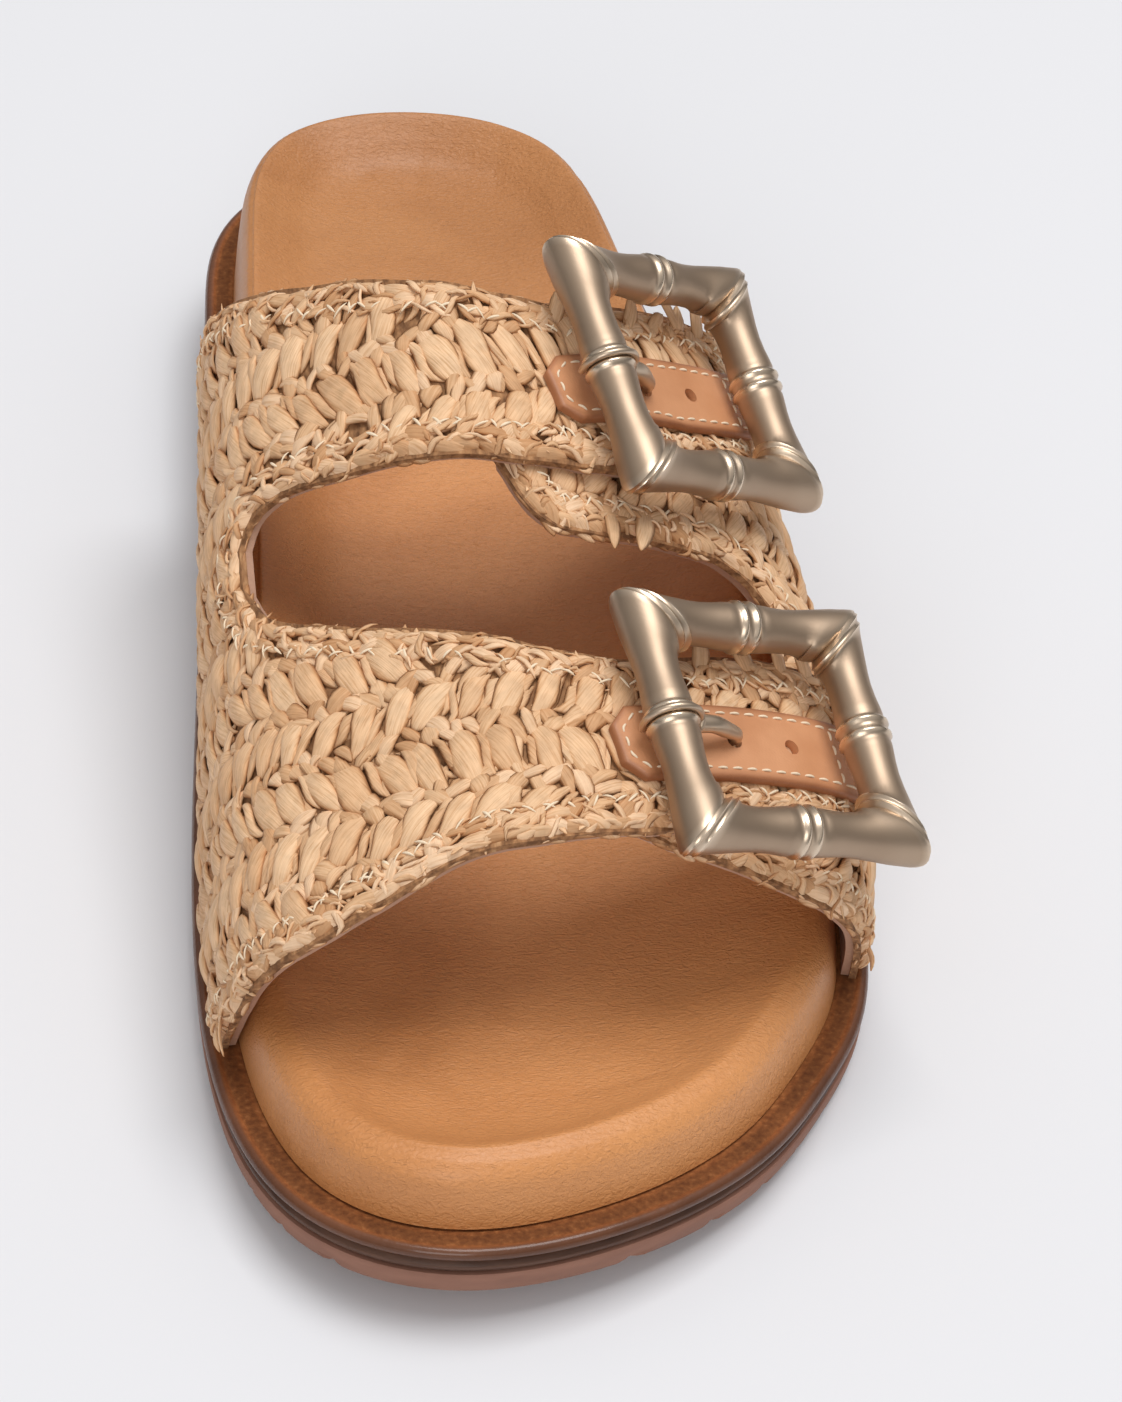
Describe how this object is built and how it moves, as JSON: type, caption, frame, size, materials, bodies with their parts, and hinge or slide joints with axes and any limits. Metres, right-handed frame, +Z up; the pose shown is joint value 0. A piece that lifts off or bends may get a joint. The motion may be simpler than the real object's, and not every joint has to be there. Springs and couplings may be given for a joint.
{
  "type": "raffia slide sandal",
  "caption": "Flat slide sandal with woven raffia straps, bamboo-form square buckles, a contoured leather footbed and a welted rubber sole.",
  "frame": {"origin": "on the floor, on a lug of the tread under the middle of the sole", "axes": "+Y towards the heel, +X towards the wearer's outer side, +Z up"},
  "size_m": [0.1045, 0.2506, 0.0875],
  "materials": {
    "outsole_rubber": "matt pinkish-brown moulded rubber",
    "midsole_board": "dark brown sanded and waxed edge",
    "welt_leather": "brown suede top with a glossy rolled rim",
    "footbed_leather": "caramel leather with a fine grain and a soft sheen",
    "raffia": "natural straw raffia in a herringbone plait, lined with leather",
    "tab_leather": "smooth tan leather with off-white stitches",
    "buckle_metal": "satin champagne-gold metal with polished ridges"
  },
  "bodies": {
    "root": {"outsole": "outsole_rubber", "midsole": "midsole_board", "welt": "welt_leather", "footbed": "footbed_leather", "upper_medial": "raffia", "upper_lateral": "raffia", "tab_front": "tab_leather", "tab_rear": "tab_leather", "buckle_front": "buckle_metal", "buckle_rear": "buckle_metal", "prong_front": "buckle_metal", "prong_rear": "buckle_metal"}
  },
  "joints": []
}
